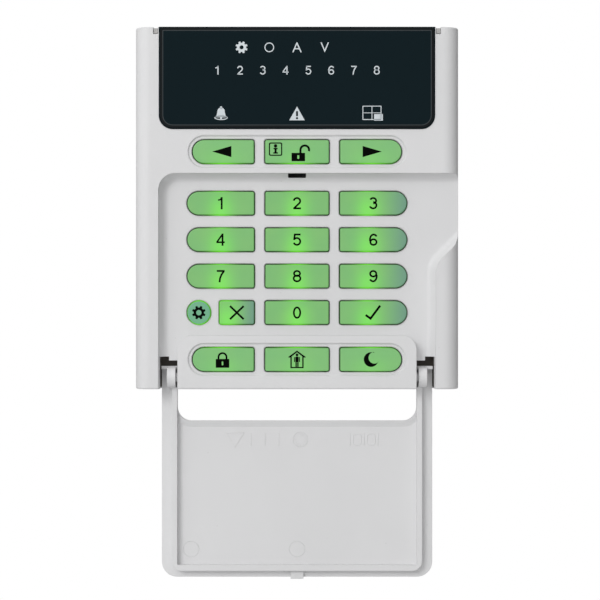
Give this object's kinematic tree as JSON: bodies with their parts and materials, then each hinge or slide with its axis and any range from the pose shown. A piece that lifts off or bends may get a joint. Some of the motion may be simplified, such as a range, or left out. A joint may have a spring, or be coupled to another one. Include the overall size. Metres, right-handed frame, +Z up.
{
  "type": "alarm keypad",
  "caption": "Wall-mounted alarm keypad panel with a smoked indicator window, backlit push keys and a fold-down flap hanging open on two hinge pins.",
  "frame": {"origin": "middle of the flat back face, which lies against the wall", "axes": "+X to the right as seen from the front, +Y into the wall, +Z up; the face looks along -Y"},
  "size_m": [0.115, 0.0295, 0.1967],
  "materials": {
    "housing": "fine-grained moulded light grey-white plastic",
    "smoked_window": "polished smoked blue-black acrylic",
    "black_foam": "soft adhesive foam",
    "printed_film": "printed film",
    "white_plastic": "white reflector plastic",
    "lamp": "surface-mounted lamp",
    "green_lamp": "surface-mounted green lamp",
    "silicone": "translucent grey-white silicone",
    "board": "green solder mask",
    "black_plastic": "black moulded plastic",
    "terminal_plastic": "green terminal plastic",
    "steel": "zinc-plated steel",
    "backlit_key": "translucent key lit from behind in green"
  },
  "bodies": {
    "housing": {"front_cover": "housing", "rear_case": "housing", "display_window": "smoked_window", "window_tape": "black_foam", "legend_film": "printed_film", "indicator_light_box": "white_plastic", "indicator_leds": "lamp", "backlight_leds": "green_lamp", "keypad_mat": "silicone", "circuit_board": "board", "microcontroller": "black_plastic", "board_components": "black_plastic", "wiring_terminal": "terminal_plastic", "terminal_screws": "steel", "data_header": "black_plastic", "sounder": "black_plastic", "tamper_switch": "black_plastic", "tamper_plunger": "terminal_plastic", "board_screws": "steel", "case_screw": "steel"},
    "flap": {"flap": "housing"},
    "key_left": {"key_left": "backlit_key"},
    "key_unlock": {"key_unlock": "backlit_key"},
    "key_right": {"key_right": "backlit_key"},
    "key_1": {"key_1": "backlit_key"},
    "key_2": {"key_2": "backlit_key"},
    "key_3": {"key_3": "backlit_key"},
    "key_4": {"key_4": "backlit_key"},
    "key_5": {"key_5": "backlit_key"},
    "key_6": {"key_6": "backlit_key"},
    "key_7": {"key_7": "backlit_key"},
    "key_8": {"key_8": "backlit_key"},
    "key_9": {"key_9": "backlit_key"},
    "key_setup": {"key_setup": "backlit_key"},
    "key_cancel": {"key_cancel": "backlit_key"},
    "key_0": {"key_0": "backlit_key"},
    "key_confirm": {"key_confirm": "backlit_key"},
    "key_lock": {"key_lock": "backlit_key"},
    "key_home": {"key_home": "backlit_key"},
    "key_night": {"key_night": "backlit_key"}
  },
  "joints": [
    {"name": "flap_hinge", "type": "hinge", "parent": "housing", "child": "flap", "pos_m": [0, -0.0238, -0.0601], "axis": [-1, 0, 0], "range_deg": [0, 180]},
    {"name": "key_left_press", "type": "slide", "parent": "housing", "child": "key_left", "axis": [0, 1, 0], "range_m": [0, 0.0008], "stiffness_N_per_m": 1500, "deforming": ["keypad_mat"]},
    {"name": "key_unlock_press", "type": "slide", "parent": "housing", "child": "key_unlock", "axis": [0, 1, 0], "range_m": [0, 0.0008], "stiffness_N_per_m": 1500, "deforming": ["keypad_mat"]},
    {"name": "key_right_press", "type": "slide", "parent": "housing", "child": "key_right", "axis": [0, 1, 0], "range_m": [0, 0.0008], "stiffness_N_per_m": 1500, "deforming": ["keypad_mat"]},
    {"name": "key_1_press", "type": "slide", "parent": "housing", "child": "key_1", "axis": [0, 1, 0], "range_m": [0, 0.0008], "stiffness_N_per_m": 1500, "deforming": ["keypad_mat"]},
    {"name": "key_2_press", "type": "slide", "parent": "housing", "child": "key_2", "axis": [0, 1, 0], "range_m": [0, 0.0008], "stiffness_N_per_m": 1500, "deforming": ["keypad_mat"]},
    {"name": "key_3_press", "type": "slide", "parent": "housing", "child": "key_3", "axis": [0, 1, 0], "range_m": [0, 0.0008], "stiffness_N_per_m": 1500, "deforming": ["keypad_mat"]},
    {"name": "key_4_press", "type": "slide", "parent": "housing", "child": "key_4", "axis": [0, 1, 0], "range_m": [0, 0.0008], "stiffness_N_per_m": 1500, "deforming": ["keypad_mat"]},
    {"name": "key_5_press", "type": "slide", "parent": "housing", "child": "key_5", "axis": [0, 1, 0], "range_m": [0, 0.0008], "stiffness_N_per_m": 1500, "deforming": ["keypad_mat"]},
    {"name": "key_6_press", "type": "slide", "parent": "housing", "child": "key_6", "axis": [0, 1, 0], "range_m": [0, 0.0008], "stiffness_N_per_m": 1500, "deforming": ["keypad_mat"]},
    {"name": "key_7_press", "type": "slide", "parent": "housing", "child": "key_7", "axis": [0, 1, 0], "range_m": [0, 0.0008], "stiffness_N_per_m": 1500, "deforming": ["keypad_mat"]},
    {"name": "key_8_press", "type": "slide", "parent": "housing", "child": "key_8", "axis": [0, 1, 0], "range_m": [0, 0.0008], "stiffness_N_per_m": 1500, "deforming": ["keypad_mat"]},
    {"name": "key_9_press", "type": "slide", "parent": "housing", "child": "key_9", "axis": [0, 1, 0], "range_m": [0, 0.0008], "stiffness_N_per_m": 1500, "deforming": ["keypad_mat"]},
    {"name": "key_setup_press", "type": "slide", "parent": "housing", "child": "key_setup", "axis": [0, 1, 0], "range_m": [0, 0.0008], "stiffness_N_per_m": 1500, "deforming": ["keypad_mat"]},
    {"name": "key_cancel_press", "type": "slide", "parent": "housing", "child": "key_cancel", "axis": [0, 1, 0], "range_m": [0, 0.0008], "stiffness_N_per_m": 1500, "deforming": ["keypad_mat"]},
    {"name": "key_0_press", "type": "slide", "parent": "housing", "child": "key_0", "axis": [0, 1, 0], "range_m": [0, 0.0008], "stiffness_N_per_m": 1500, "deforming": ["keypad_mat"]},
    {"name": "key_confirm_press", "type": "slide", "parent": "housing", "child": "key_confirm", "axis": [0, 1, 0], "range_m": [0, 0.0008], "stiffness_N_per_m": 1500, "deforming": ["keypad_mat"]},
    {"name": "key_lock_press", "type": "slide", "parent": "housing", "child": "key_lock", "axis": [0, 1, 0], "range_m": [0, 0.0008], "stiffness_N_per_m": 1500, "deforming": ["keypad_mat"]},
    {"name": "key_home_press", "type": "slide", "parent": "housing", "child": "key_home", "axis": [0, 1, 0], "range_m": [0, 0.0008], "stiffness_N_per_m": 1500, "deforming": ["keypad_mat"]},
    {"name": "key_night_press", "type": "slide", "parent": "housing", "child": "key_night", "axis": [0, 1, 0], "range_m": [0, 0.0008], "stiffness_N_per_m": 1500, "deforming": ["keypad_mat"]}
  ]
}
